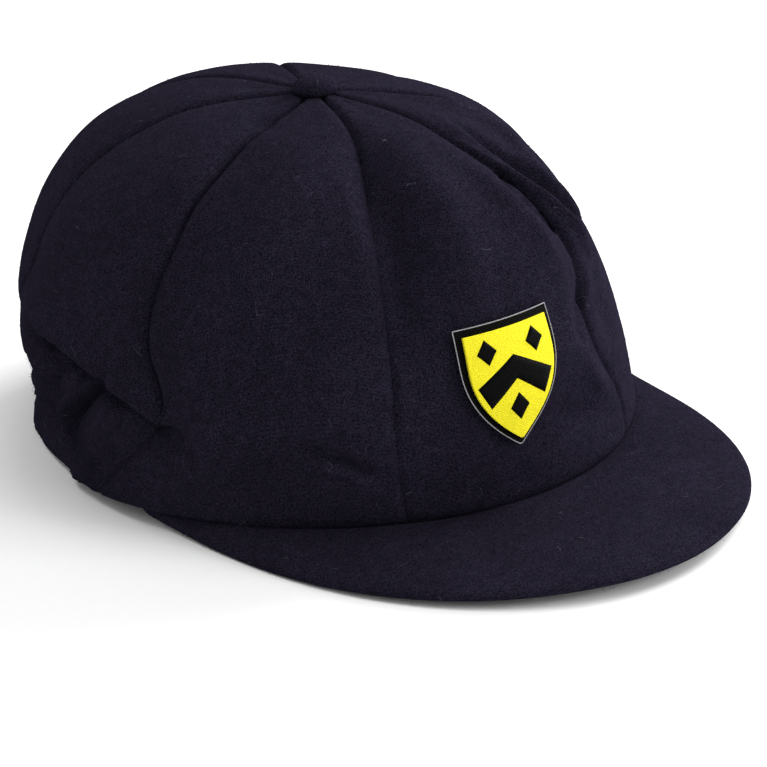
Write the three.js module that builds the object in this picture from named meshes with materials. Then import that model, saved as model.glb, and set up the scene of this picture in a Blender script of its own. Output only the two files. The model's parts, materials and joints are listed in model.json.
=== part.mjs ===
// Cricket cap: eight puffed cloth panels gathered under a covered button, a short peak and a shield badge.
// Millimetres. The peak points towards -Y, the wearer's left is +X, +Z is up and the cap rests on z = 0.
import * as THREE from "three";

// Driving sizes
const RIM_LENGTH = 190; // front to back; with the width this goes round a head of about 57 cm
const RIM_WIDTH = 172;
const CROWN_HEIGHT = 100; // from the rim up to the cloth under the button
const CLOTH = 2; // wall of the crown, a heavy felted wool
const GAP = 0.3; // between pieces that are sewn to each other
const SEAM_DEPTH = 4; // how far the cloth dips into a seam
const FOLD_HEIGHT = 4; // a tall fold or a deep crease
const FOLD_WIDTH = 10; // half width of a usual fold
const PEAK_DEPTH = 52; // from the rim to the front edge
const PEAK_DROP = 7; // how far the front edge lies below the rim
const PEAK_THICKNESS = 3;
const PEAK_REACH = 83; // degrees that the peak runs round the rim to each side
const BUTTON_WIDTH = 14;
const BUTTON_HEIGHT = 5;
const BADGE_WIDTH = 37;
const BADGE_HEIGHT = 39;
const BADGE_THICKNESS = 0.8;
const BADGE_BORDER = 2.4; // black edge left round the yellow field

// Mesh fineness
const PANEL_COLUMNS = 10;
const PANEL_ROWS = 25;
const PEAK_COLUMNS = 42;
const PEAK_ROWS = 5;
const BADGE_COLUMNS = 6;
const BADGE_ROWS = 8;
const BUTTON_SIDES = 20;
const BUTTON_RINGS = 6;
const COLUMN_EASE = 0.09; // how far the columns of a panel crowd towards its seams

// Shapes of the crown, by azimuth in degrees from the front towards the wearer's left
const RADIANS = Math.PI / 180;
const CLOTH_RUN = CROWN_HEIGHT + RIM_WIDTH * 0.34; // cloth from the rim to the button
const STEM_HOLE = BUTTON_WIDTH * 0.18; // the panels stop at a hole that the button's stem goes through
const SEAM_SHARPNESS = 4; // power of the dip across a panel: the higher, the narrower the seam
const SEAM_AT_RIM = { share: 0.3, until: 0.3 }; // a seam's share of its depth at the rim, and where it is full
const SEAM_AT_TOP = { share: 0.35, from: 0.6 }; // the same at the button
const LIP_SHARPNESS = 4; // how suddenly a lip goes from standing out to tucked in
const PEAK_SWEEP = { inner: 1.7, outer: 2 }; // powers of the peak's outline from its middle to its ends
const PEAK_BEND = { across: 4, outward: 1.2 }; // powers of the peak's drop towards its ends and its edge
const PEAK_TUCK = 1.2 * CLOTH; // how far the peak reaches in under the crown
const PEAK_EDGE = { ring: 0.97, thickness: 0.4 }; // where the peak starts to thin, and the edge's thickness
const SHIELD_SHOULDER = 0.3; // share of the badge's height down to which its sides are straight
const SHIELD_POINT = 2; // power of the curve from there down to the point
const SHIELD_BLUNT = 0.01; // share of the badge's height at which its point is cut off
const BUTTON_SHAPE = { neck: 0.86, start: 0.15, side: 0.25 }; // its underside's reach, where it starts and its side
const NORMAL_REACH = { highest: 0.97, step: 0.01 }; // rises between which the crown's direction is measured
const RISE_STEP = 0.001; // how finely a panel's top is searched for
const SHORT_GATHER = 0.7; // height of every second gather, as a share of its neighbours'
const REST_PASSES = 3; // how often the tip onto the lowest points is repeated

// Levels of the crown that the columns of the section table stand for, as shares of the rise along the cloth
const LEVELS = [0, 0.16, 0.34, 0.6, 0.82, 1];

// Sections of the crown.
// reach: share of the way from the middle out to the rim; height: share of the crown's height.
const SECTIONS = [
  { azimuth: 0, reach: [1, 1.0, 0.96, 0.77, 0.42, 0], height: [0, 0.2, 0.47, 0.81, 0.96, 1] },
  { azimuth: 60, reach: [1, 0.97, 0.89, 0.69, 0.39, 0], height: [0, 0.2, 0.48, 0.8, 0.95, 1] },
  { azimuth: 120, reach: [1, 0.99, 0.95, 0.75, 0.41, 0], height: [0, 0.21, 0.49, 0.82, 0.96, 1] },
  { azimuth: 180, reach: [1, 1.02, 1.0, 0.82, 0.46, 0], height: [0, 0.22, 0.49, 0.85, 0.99, 1] },
  { azimuth: 240, reach: [1.06, 1.015, 1.05, 0.84, 0.46, 0], height: [0, 0.19, 0.48, 0.84, 0.99, 1] },
  { azimuth: 300, reach: [1.01, 1.03, 1.02, 0.82, 0.45, 0], height: [0, 0.21, 0.48, 0.83, 0.98, 1] },
];

// Seams: azimuth at each share of the rise, and depth as a share of the usual seam
const SEAM_RISES = [0, 0.12, 0.24, 0.33, 0.42, 0.55, 0.7, 0.85, 1];
const SEAMS = [
  { name: "front_right", azimuths: [-31, -32, -32, -31.5, -31, -30, -28.5, -24, -18], depth: 0.8 },
  { name: "front_left", azimuths: [30, 28, 21, 20, 27, 21, 15, 17, 25], depth: 0.8 },
  { name: "side_left", azimuths: [70, 67, 64, 62, 61, 59, 58, 62, 68], depth: 1 },
  { name: "rear_left", azimuths: [110, 109, 107, 106, 105, 105, 105, 104, 105], depth: 0.7 },
  { name: "back_left", azimuths: [150, 150, 150, 150, 150, 150, 150, 152, 155], depth: 0.6 },
  { name: "back_right", azimuths: [190, 192, 194, 195, 195, 195, 195, 192, 188], depth: 0.6 },
  { name: "rear_right", azimuths: [228, 232, 235, 236, 238, 240.5, 241, 235, 228], depth: 0.9 },
  { name: "side_right", azimuths: [267, 276, 285, 281, 281, 283.5, 285, 286, 289], depth: 1.2 },
];

// Panels, each from the seam of its own place in the list above to the next one
const PANELS = [
  "panel_front",
  "panel_front_left",
  "panel_side_left",
  "panel_rear_left",
  "panel_back",
  "panel_rear_right",
  "panel_side_right",
  "panel_front_right",
];

// Folds: each runs along a line of places on the cloth, given as azimuth and share of the rise.
// width and height are shares of the usual fold; a height below 0 is a crease.
// A lip stands out on the left of its line, looking along it, and is tucked in on the right.
const FOLDS = [
  { name: "rear_overhang", line: [[228, 0.38], [243, 0.35], [258, 0.32], [275, 0.28], [287, 0.23]],
    width: 1.5, height: 0.65, lip: true },
  { name: "side_overhang", line: [[285, 0.28], [288, 0.22], [292, 0.12]],
    width: 0.9, height: -0.5, lip: true },
  { name: "rear_pleat", line: [[257, 0.29], [236, 0.08]], width: 0.7, height: 0.7 },
  { name: "rear_hollow", line: [[266, 0.2], [253, 0.08]], width: 0.6, height: -0.6 },
  { name: "front_hollow", line: [[-24, 0.6], [-24, 0.5], [-28, 0.36]], width: 0.9, height: -0.8 },
  { name: "front_edge", line: [[8, 0.5], [10, 0.32], [20, 0.16]], width: 0.7, height: 0.4 },
  { name: "left_edge", line: [[28, 0.8], [25, 0.67], [27, 0.56], [34, 0.45]], width: 0.5, height: 0.5 },
  { name: "left_hollow", line: [[33, 0.38], [29, 0.26]], width: 0.45, height: -0.6 },
  { name: "left_pleat", line: [[58, 0.8], [48, 0.7], [38, 0.62], [36, 0.5]], width: 0.6, height: 0.5 },
  { name: "badge_dent", line: [[-2, 0.15], [20, 0.12]], width: 0.8, height: -0.35 },
  { name: "hem_crease", line: [[-50, 0.16], [-36, 0.11]], width: 0.6, height: -0.3 },
  { name: "side_valley", line: [[-74, 0.78], [-73, 0.88]], width: 0.8, height: -0.6 },
  { name: "side_dip", line: [[-70, 0.55], [-66, 0.44]], width: 0.8, height: -0.35 },
  { name: "back_overhang", line: [[80, 0.22], [110, 0.27], [140, 0.3], [170, 0.34], [200, 0.4]],
    width: 1.5, height: 0.5, lip: true },
];

// Small gathers where the back of the crown is drawn into the rim
const GATHERS = { from: 100, to: 262, count: 14, rise: 0.1, width: 0.35, height: -0.4 };

// The badge: place of its middle on the front panel
const BADGE_AZIMUTH = -8;
const BADGE_RISE = 0.262;

const NAVY = { color: 0x1d1b28, roughness: 0.95, metalness: 0 };
const BLACK = { color: 0x17161b, roughness: 0.85, metalness: 0 };
const YELLOW = { color: 0xe4d83a, roughness: 0.8, metalness: 0 };

/** A smooth curve through values at rising knots, read at x; with a period its ends join. */
function smoothAt(knots, values, x, period = 0) {
  const count = knots.length;
  const wrap = (i) => ((i % count) + count) % count;
  const hold = (i) => THREE.MathUtils.clamp(i, 0, count - 1);
  const knot = (i) => (period ? knots[wrap(i)] + period * Math.floor(i / count) : knots[hold(i)]);
  const value = (i) => values[period ? wrap(i) : hold(i)];
  const last = period ? count - 1 : count - 2;
  let i = 0;
  while (i < last && x >= knot(i + 1)) {
    i += 1;
  }
  const span = knot(i + 1) - knot(i);
  const slope = (j) => (value(j + 1) - value(j - 1)) / (knot(j + 1) - knot(j - 1));
  const s = (x - knot(i)) / span;
  const rise = s * s * (3 - 2 * s);
  const start = s * (1 - s) * (1 - s) * span * slope(i);
  const end = s * s * (s - 1) * span * slope(i + 1);
  return THREE.MathUtils.lerp(value(i), value(i + 1), rise) + start + end;
}

/** An angle in degrees brought to 0..360. */
function turn(azimuth) {
  return ((azimuth % 360) + 360) % 360;
}

/** The rim, an oval in the plane z = 0. */
function rimPoint(azimuth) {
  const angle = azimuth * RADIANS;
  return new THREE.Vector3((RIM_WIDTH / 2) * Math.sin(angle), (-RIM_LENGTH / 2) * Math.cos(angle), 0);
}

/** Straight out from the rim, level. */
function rimOutward(azimuth) {
  const angle = azimuth * RADIANS;
  return new THREE.Vector3(RIM_LENGTH * Math.sin(angle), -RIM_WIDTH * Math.cos(angle), 0).normalize();
}

/** The crown without seams and folds, at an azimuth and a share of the rise. */
function smoothCrown(azimuth, rise) {
  const knots = SECTIONS.map((section) => section.azimuth);
  const around = (column, i) => smoothAt(knots, SECTIONS.map((row) => row[column][i]), turn(azimuth), 360);
  const along = (column) => smoothAt(LEVELS, LEVELS.map((_, i) => around(column, i)), rise);
  return rimPoint(azimuth).multiplyScalar(along("reach")).setZ(along("height") * CROWN_HEIGHT);
}

/** Outward direction of the smooth crown. */
function crownNormal(azimuth, rise) {
  const level = Math.min(rise, NORMAL_REACH.highest);
  const around = smoothCrown(azimuth + 1, level).sub(smoothCrown(azimuth - 1, level));
  const up = smoothCrown(azimuth, level + NORMAL_REACH.step)
    .sub(smoothCrown(azimuth, Math.max(level - NORMAL_REACH.step, 0)));
  return around.cross(up).normalize();
}

/** Radius of the smooth crown about its middle. */
function crownRadius(azimuth, rise) {
  const place = smoothCrown(azimuth, rise);
  return Math.hypot(place.x, place.y);
}

/** From a place to a line over the cloth: the distance, above 0 on the line's left, and the share along it. */
function nearestOnLine(line, azimuth, rise, radius) {
  const middle = (line[0][0] + line.at(-1)[0]) / 2;
  const toMiddle = turn(middle - azimuth + 180) - 180;
  const flat = line.map(
    ([a, r]) => new THREE.Vector2((toMiddle + a - middle) * RADIANS * radius, (r - rise) * CLOTH_RUN),
  );
  const nearest = { distance: Infinity, along: 0 };
  for (let i = 0; i < flat.length - 1; i += 1) {
    const run = flat[i + 1].clone().sub(flat[i]);
    const share = THREE.MathUtils.clamp(-flat[i].dot(run) / run.lengthSq(), 0, 1);
    const away = flat[i].clone().addScaledVector(run, share).length();
    if (away < Math.abs(nearest.distance)) {
      nearest.distance = run.cross(flat[i]) > 0 ? away : -away;
      nearest.along = (i + share) / (flat.length - 1);
    }
  }
  return nearest;
}

/** The folds and the gathers at the rim, as lines on the cloth. */
function allFolds() {
  const { from, to, count, rise, width, height } = GATHERS;
  const gathers = Array.from({ length: count }, (_, i) => {
    const azimuth = THREE.MathUtils.lerp(from, to, i / (count - 1));
    return { line: [[azimuth, 0], [azimuth, rise * (i % 2 ? 1 : SHORT_GATHER)]], width, height };
  });
  return [...FOLDS, ...gathers];
}

/** Height of all the folds at a place on the crown. */
function foldHeight(azimuth, rise) {
  const radius = crownRadius(azimuth, rise);
  return allFolds().reduce((total, fold) => {
    const { distance, along } = nearestOnLine(fold.line, azimuth, rise, radius);
    const away = distance / (fold.width * FOLD_WIDTH);
    const side = fold.lip ? Math.tanh(away * LIP_SHARPNESS) * Math.sqrt(Math.sin(Math.PI * along)) : 1;
    return total + fold.height * FOLD_HEIGHT * side * Math.exp(-away * away);
  }, 0);
}

/** How far the cloth dips at a share of the way across a panel. */
function seamDip(across, rise, left, right) {
  const depth = THREE.MathUtils.lerp(left.depth, right.depth, across);
  const edge = Math.abs(2 * across - 1);
  const fromRim = THREE.MathUtils.smoothstep(rise, 0, SEAM_AT_RIM.until);
  const fromTop = 1 - THREE.MathUtils.smoothstep(rise, SEAM_AT_TOP.from, 1);
  const shallowAtRim = THREE.MathUtils.lerp(SEAM_AT_RIM.share, 1, fromRim);
  const shallowAtTop = THREE.MathUtils.lerp(SEAM_AT_TOP.share, 1, fromTop);
  return SEAM_DEPTH * depth * shallowAtRim * shallowAtTop * edge ** SEAM_SHARPNESS;
}

/** A place on a panel, at a share across it and a share of the rise, lifted off its outer face. */
function panelPoint(index, across, rise, lift, margin = 0) {
  const left = SEAMS[index];
  const right = SEAMS[(index + 1) % SEAMS.length];
  const start = smoothAt(SEAM_RISES, left.azimuths, rise);
  const span = turn(smoothAt(SEAM_RISES, right.azimuths, rise) - start);
  const inset = margin / (crownRadius(start, rise) * RADIANS);
  const azimuth = start + inset + (span - 2 * inset) * across;
  const offset = foldHeight(azimuth, rise) - seamDip(across, rise, left, right) + lift;
  return smoothCrown(azimuth, rise).addScaledVector(crownNormal(azimuth, rise), offset);
}

/** A closed solid between two grids of points of the same size, grid[row][column]. */
function shellBetween(outer, inner) {
  const rows = outer.length;
  const columns = outer[0].length;
  const points = [...outer.flat(), ...inner.flat()];
  const out = (r, c) => r * columns + c;
  const back = (r, c) => rows * columns + out(r, c);
  const faces = [];
  const quad = (a, b, c, d) => faces.push(a, b, c, a, c, d);
  for (let r = 0; r < rows - 1; r += 1) {
    for (let c = 0; c < columns - 1; c += 1) {
      quad(out(r, c), out(r, c + 1), out(r + 1, c + 1), out(r + 1, c));
      quad(back(r, c), back(r + 1, c), back(r + 1, c + 1), back(r, c + 1));
    }
    quad(out(r + 1, 0), back(r + 1, 0), back(r, 0), out(r, 0));
    quad(out(r, columns - 1), back(r, columns - 1), back(r + 1, columns - 1), out(r + 1, columns - 1));
  }
  for (let c = 0; c < columns - 1; c += 1) {
    quad(out(0, c), back(0, c), back(0, c + 1), out(0, c + 1));
    quad(out(rows - 1, c + 1), back(rows - 1, c + 1), back(rows - 1, c), out(rows - 1, c));
  }
  const geometry = new THREE.BufferGeometry();
  geometry.setAttribute("position", new THREE.Float32BufferAttribute(points.flatMap((p) => p.toArray()), 3));
  geometry.setIndex(faces);
  return geometry;
}

/** A named mesh. */
function piece(name, geometry, look) {
  const mesh = new THREE.Mesh(geometry, new THREE.MeshStandardMaterial(look));
  mesh.name = name;
  return mesh;
}

/** Evenly rising numbers from 0 to 1, count steps apart. */
function shares(count) {
  return Array.from({ length: count + 1 }, (_, i) => i / count);
}

/** The share of the rise where the crown comes as near its middle as the stem hole. */
function topRise() {
  let rise = 1;
  while (crownRadius(0, rise) < STEM_HOLE) {
    rise -= RISE_STEP;
  }
  return rise;
}

/** One panel of the crown, with more columns near its seams. */
function crownPanel(index) {
  const top = topRise();
  const columns = shares(PANEL_COLUMNS).map((even) => even - COLUMN_EASE * Math.sin(2 * Math.PI * even));
  const grid = (lift) => shares(PANEL_ROWS).map(
    (share) => columns.map((across) => panelPoint(index, across, share * top, lift, GAP / 2)),
  );
  return piece(PANELS[index], shellBetween(grid(0), grid(-CLOTH)), NAVY);
}

/** The peak: a thin curved plate whose inner edge lies under the crown's front. */
function peak() {
  const edgePoint = (side, share, face) => {
    const azimuth = side * PEAK_REACH;
    const spread = Math.abs(side);
    const depth = PEAK_DEPTH * (1 - spread ** PEAK_SWEEP.inner) ** PEAK_SWEEP.outer;
    const drop = PEAK_DROP * (1 - spread ** PEAK_BEND.across) * share ** PEAK_BEND.outward;
    const thickness = PEAK_THICKNESS * (share < 1 ? 1 : PEAK_EDGE.thickness);
    const middle = -GAP - PEAK_THICKNESS / 2 - drop;
    return rimPoint(azimuth)
      .addScaledVector(rimOutward(azimuth), share * (depth + PEAK_TUCK) - PEAK_TUCK)
      .setZ(middle + (face * thickness) / 2);
  };
  const rings = [...shares(PEAK_ROWS - 1).map((share) => share * PEAK_EDGE.ring), 1];
  const grid = (face) => rings.map((share) => shares(PEAK_COLUMNS).map((s) => edgePoint(2 * s - 1, share, face)));
  return piece("peak", shellBetween(grid(-1), grid(1)), NAVY);
}

/** The covered button, a low dome on a stem that goes down through the hole between the panels. */
function button() {
  const radius = BUTTON_WIDTH / 2;
  const base = GAP;
  const stem = STEM_HOLE - 2 * GAP;
  const profile = [
    new THREE.Vector2(0, -2 * CLOTH),
    new THREE.Vector2(stem, -2 * CLOTH),
    new THREE.Vector2(stem, base),
    new THREE.Vector2(radius * BUTTON_SHAPE.neck, base),
  ];
  for (const share of shares(BUTTON_RINGS)) {
    const angle = (share * (1 + BUTTON_SHAPE.start) - BUTTON_SHAPE.start) * (Math.PI / 2);
    profile.push(new THREE.Vector2(
      share < 1 ? radius * Math.cos(angle) : 0,
      base + BUTTON_HEIGHT * (BUTTON_SHAPE.side + (1 - BUTTON_SHAPE.side) * Math.sin(angle)),
    ));
  }
  const dome = new THREE.LatheGeometry(profile, BUTTON_SIDES).rotateX(Math.PI / 2);
  return piece("button", dome.translate(0, 0, CROWN_HEIGHT), NAVY);
}

/** Half width of the shield at a share of the way down from its top edge, as a share of its full half width. */
function shieldWidth(down) {
  const below = Math.max(down - SHIELD_SHOULDER, 0) / (1 - SHIELD_SHOULDER);
  return 1 - below ** SHIELD_POINT;
}

/** A shield that follows the front panel, inset from the badge's outline and lifted off the cloth. */
function shield(name, inset, lift, look) {
  const width = BADGE_WIDTH - 2 * inset;
  const height = BADGE_HEIGHT - 2 * inset;
  const middle = crownRadius(BADGE_AZIMUTH, BADGE_RISE);
  const pointAt = (down, side, height0) => {
    const rise = BADGE_RISE + ((0.5 - down) * height) / CLOTH_RUN;
    const azimuth = BADGE_AZIMUTH + (side * (width / 2) * shieldWidth(down)) / (middle * RADIANS);
    const left = smoothAt(SEAM_RISES, SEAMS[0].azimuths, rise);
    const span = smoothAt(SEAM_RISES, SEAMS[1].azimuths, rise) - left;
    return panelPoint(0, (azimuth - left) / span, rise, height0);
  };
  const grid = (height0) => shares(BADGE_ROWS).map(
    (up) => shares(BADGE_COLUMNS).map((s) => pointAt(1 - Math.max(up, SHIELD_BLUNT), 2 * s - 1, height0)),
  );
  return piece(name, shellBetween(grid(lift + BADGE_THICKNESS), grid(lift)), look);
}

/** The lowest point of a group, in the frame that it is built in. */
function lowest(group, isWanted) {
  let low = new THREE.Vector3(0, 0, Infinity);
  for (const mesh of group.children) {
    const places = mesh.geometry.getAttribute("position");
    for (let i = 0; i < places.count; i += 1) {
      const place = new THREE.Vector3().fromBufferAttribute(places, i);
      if (isWanted(place) && place.z < low.z) {
        low = place;
      }
    }
  }
  return low;
}

/** Tips the cap onto the lowest points of its front and its back and centres it over the origin. */
function rest(group) {
  for (let pass = 0; pass < REST_PASSES; pass += 1) {
    const front = lowest(group, (place) => place.y < 0);
    const back = lowest(group, (place) => place.y > 0);
    const angle = Math.atan2(back.z - front.z, back.y - front.y);
    group.children.forEach((mesh) => mesh.geometry.rotateX(-angle));
  }
  const box = new THREE.Box3().setFromObject(group);
  const middle = box.getCenter(new THREE.Vector3());
  group.children.forEach((mesh) => mesh.geometry.translate(-middle.x, -middle.y, -box.min.z));
}

const cap = new THREE.Group();
cap.name = "cricket_cap";
PANELS.forEach((_, index) => cap.add(crownPanel(index)));
cap.add(peak());
cap.add(button());
cap.add(shield("badge_patch", 0, 2 * GAP, BLACK));
cap.add(shield("badge_field", BADGE_BORDER, 3 * GAP + BADGE_THICKNESS, YELLOW));
rest(cap);

export default cap;
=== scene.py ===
"""A baggy cricket cap of felted navy wool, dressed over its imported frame.

The crown's panels, the peak, the covered button and the embroidered shield take their forms from the frame's
solids. The finer folds, rolled seams, thread and nap are made here. Everything is in metres: the peak points
towards -Y, the wearer's left is +X and the cap rests on z = 0.
"""

from __future__ import annotations

import json
import logging
import math
from collections.abc import Iterator
from contextlib import contextmanager
from dataclasses import dataclass, field
from enum import Enum

import bmesh
import bpy
import numpy as np
from mathutils import Matrix, Vector, noise
from mathutils.bvhtree import BVHTree

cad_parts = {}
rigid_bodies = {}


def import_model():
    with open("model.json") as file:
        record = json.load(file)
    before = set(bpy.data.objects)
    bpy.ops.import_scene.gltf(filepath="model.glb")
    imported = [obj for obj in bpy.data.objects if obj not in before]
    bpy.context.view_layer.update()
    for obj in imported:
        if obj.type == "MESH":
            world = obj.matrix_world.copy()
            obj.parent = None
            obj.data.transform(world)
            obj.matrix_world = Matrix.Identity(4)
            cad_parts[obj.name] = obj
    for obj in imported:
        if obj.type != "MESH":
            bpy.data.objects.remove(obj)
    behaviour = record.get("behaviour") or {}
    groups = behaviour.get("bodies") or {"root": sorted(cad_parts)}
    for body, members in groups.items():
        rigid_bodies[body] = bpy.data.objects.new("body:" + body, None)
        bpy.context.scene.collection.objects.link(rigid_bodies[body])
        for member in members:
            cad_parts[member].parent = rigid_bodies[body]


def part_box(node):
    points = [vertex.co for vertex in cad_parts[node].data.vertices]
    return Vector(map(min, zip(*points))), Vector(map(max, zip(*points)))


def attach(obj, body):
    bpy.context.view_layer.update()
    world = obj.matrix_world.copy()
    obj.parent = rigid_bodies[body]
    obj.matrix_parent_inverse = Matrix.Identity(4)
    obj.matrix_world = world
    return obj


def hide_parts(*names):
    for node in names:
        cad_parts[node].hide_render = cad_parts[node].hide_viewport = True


log = logging.getLogger("cricket_cap")

MM = 0.001

STRAIGHT_BAND = 0.314  # width of a wave texture's straight band at scale 1
SLANTING_BAND = 0.363  # and of its slanting band

MERGE_GAP = 0.02 * MM  # corners of a solid's triangles that are nearer than this become one point
LENGTH_SLACK = 0.004 * MM  # how exactly an edge through a wall has the wall's thickness as its length
THROUGH_WALL = 0.6  # the least cosine of such an edge to the way out of the hollow
QUAD_BEND = math.radians(80)  # two triangles become a quad up to this bend
QUAD_SKEW = math.radians(120)  # and up to this difference of its corners
TINY = 1e-6

Pixel = tuple[float, float]
Range = tuple[float, float]
Colour = tuple[float, float, float, float]


class Side(Enum):
    """How a fold stands on the cloth."""

    RIDGE = "ridge"
    LIP = "lip"
    SEEN = "seen"
    SHIFT = "shift"


@dataclass(frozen=True)
class PhotoView:
    """Where the photograph was taken from, about the middle of the cap's rim."""

    azimuth: float = -39.75
    elevation: float = 21.65
    roll: float = 4.05
    distance: float = 1.261
    pixels_per_metre: float = 3291.0
    rim_pixel: Pixel = (338.2, 406.6)
    image_side: int = 767
    sensor: float = 36.0
    clip_end: float = 20.0
    rim_middle: tuple[float, float, float] = (0.0031, 0.0240, 0.0053)
    rim_tilt: float = 3.21

    @property
    def focal(self) -> float:
        """The focal length in pixels."""
        return self.pixels_per_metre * self.distance

    def axes(self) -> tuple[Vector, Vector, Vector]:
        """The directions of the picture.

        Returns:
            Its right and up, and the way back to the camera.
        """
        azimuth, elevation, roll = (math.radians(a) for a in (self.azimuth, self.elevation, self.roll))
        right = Vector((math.cos(azimuth), math.sin(azimuth), 0.0))
        level = Vector((math.sin(azimuth), -math.cos(azimuth), 0.0))
        back = level * math.cos(elevation) + Vector((0.0, 0.0, math.sin(elevation)))
        up = back.cross(right)
        rolled_right = right * math.cos(roll) - up * math.sin(roll)
        rolled_up = right * math.sin(roll) + up * math.cos(roll)
        tilt = Matrix.Rotation(-math.radians(self.rim_tilt), 3, "X")
        return tilt @ rolled_right, tilt @ rolled_up, tilt @ back

    def place(self) -> Vector:
        """Where the camera stands.

        Returns:
            The place.
        """
        right, up, back = self.axes()
        across = (self.rim_pixel[0] - self.image_side / 2) / self.pixels_per_metre
        down = (self.rim_pixel[1] - self.image_side / 2) / self.pixels_per_metre
        return Vector(self.rim_middle) + back * self.distance - right * across + up * down

    def ray(self, pixel: Pixel) -> Vector:
        """The direction from the camera through a pixel.

        Args:
            pixel: Across and down in the picture.

        Returns:
            A unit vector.
        """
        right, up, back = self.axes()
        across = (pixel[0] - self.image_side / 2) / self.focal
        down = (pixel[1] - self.image_side / 2) / self.focal
        return (right * across - up * down - back).normalized()

    def project(self, points: np.ndarray) -> np.ndarray:
        """The pixels that points fall on.

        Args:
            points: Rows of x, y, z.

        Returns:
            Rows of across, down.
        """
        right, up, back = (np.array(a) for a in self.axes())
        away = points - np.array(self.place())
        depth = -(away @ back)
        across = self.image_side / 2 + self.focal * (away @ right) / depth
        down = self.image_side / 2 - self.focal * (away @ up) / depth
        return np.stack([across, down], axis=1)

    def make_camera(self) -> None:
        """Makes the scene's camera."""
        data = bpy.data.cameras.new("camera")
        data.sensor_width = self.sensor
        data.lens = self.focal * self.sensor / self.image_side
        data.clip_end = self.clip_end
        camera = bpy.data.objects.new("camera", data)
        right, up, back = self.axes()
        turn = Matrix((right, up, back)).transposed().to_4x4()
        camera.matrix_world = Matrix.Translation(self.place()) @ turn
        bpy.context.scene.collection.objects.link(camera)
        bpy.context.scene.camera = camera


@dataclass(frozen=True)
class Fold:
    """One fold of the cloth, along a line that the photograph shows.

    The line holds pixels of the photograph. A ridge has a height above 0 and a crease below 0. A lip stands
    out on the left of its line and is tucked in on the right, looking along it in the picture. The width of a
    seen fold is its width in the picture, where the cloth turns away and the real fold is wider. A shift
    moves the cloth sideways, to the left above 0. Width and height are in millimetres.
    """

    name: str
    line: tuple[Pixel, ...]
    width: float
    height: float
    side: Side = Side.RIDGE


class NodeGraph:
    """A material's nodes, joined by name."""

    def __init__(self, name: str) -> None:
        """Makes an empty material.

        Args:
            name: The material's name.
        """
        self.material = bpy.data.materials.new(name)
        self.material.use_nodes = True
        self.tree = self.material.node_tree
        self.shader = self.tree.nodes["Principled BSDF"]
        self.place = self.tree.nodes.new("ShaderNodeTexCoord").outputs["Object"]

    def add(
        self, kind: str, inputs: dict[str | int, object] | None = None, **settings: object
    ) -> bpy.types.Node:
        """Adds a node.

        Args:
            kind: The node's type.
            inputs: Values or outputs for its inputs, by name or number.
            settings: Attributes of the node.

        Returns:
            The node.
        """
        node = self.tree.nodes.new(kind)
        for key, value in settings.items():
            setattr(node, key, value)
        for key, value in (inputs or {}).items():
            if isinstance(value, bpy.types.NodeSocket):
                self.tree.links.new(value, node.inputs[key])
            else:
                node.inputs[key].default_value = value
        return node

    def noise(self, size: float, detail: float = 3.0, roughness: float = 0.55) -> bpy.types.NodeSocket:
        """Noise whose grains are about a size.

        Args:
            size: Size of a grain, in metres.
            detail: Octaves.
            roughness: Strength of the fine octaves.

        Returns:
            A factor about 0.5.
        """
        inputs = {"Vector": self.place, "Scale": 1.0 / size, "Detail": detail, "Roughness": roughness}
        return self.add("ShaderNodeTexNoise", inputs).outputs["Fac"]

    def bands(self, direction: str, scale: float, wander: float, detail_scale: float) -> bpy.types.NodeSocket:
        """Wandering bands.

        Args:
            direction: The way that they follow each other.
            scale: The wave texture's scale.
            wander: How far they leave their straight lines.
            detail_scale: How fine their wandering is.

        Returns:
            A factor from 0 to 1.
        """
        inputs = {
            "Vector": self.place,
            "Scale": scale,
            "Distortion": wander,
            "Detail": 2.0,
            "Detail Scale": detail_scale,
        }
        return self.add("ShaderNodeTexWave", inputs, bands_direction=direction).outputs["Fac"]

    def ramp(self, factor: bpy.types.NodeSocket, span: Range) -> bpy.types.NodeSocket:
        """A factor spread so that the range's two values become 0 and 1."""
        inputs = {"Value": factor, "From Min": span[0], "From Max": span[1]}
        return self.add("ShaderNodeMapRange", inputs).outputs["Result"]

    def times(self, a: bpy.types.NodeSocket, b: bpy.types.NodeSocket) -> bpy.types.NodeSocket:
        """The product of two factors."""
        return self.add("ShaderNodeMath", {0: a, 1: b}, operation="MULTIPLY").outputs[0]

    def mix(self, factor: bpy.types.NodeSocket, a: object, b: object) -> bpy.types.NodeSocket:
        """Two colours mixed, the factor being the share of the second."""
        return self.add("ShaderNodeMix", {0: factor, 6: a, 7: b}, data_type="RGBA").outputs[2]

    def bump(self, height: bpy.types.NodeSocket, distance: float, strength: float,
             under: bpy.types.NodeSocket | None = None) -> bpy.types.NodeSocket:
        """A bump over another one.

        Args:
            height: Its relief, from 0 to 1.
            distance: Its full height, in metres.
            strength: How strongly it shows.
            under: The normal that it lies on.

        Returns:
            The normal.
        """
        inputs = {"Height": height, "Distance": distance, "Strength": strength}
        if under is not None:
            inputs["Normal"] = under
        return self.add("ShaderNodeBump", inputs).outputs["Normal"]

    def set_shader(self, **values: object) -> None:
        """Sets or joins the shader's sockets.

        Args:
            values: A value or an output for each socket, with underscores for the spaces in its name.
        """
        for key, value in values.items():
            socket = self.shader.inputs[key.replace("_", " ")]
            if isinstance(value, bpy.types.NodeSocket):
                self.tree.links.new(value, socket)
            else:
                socket.default_value = value


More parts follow.
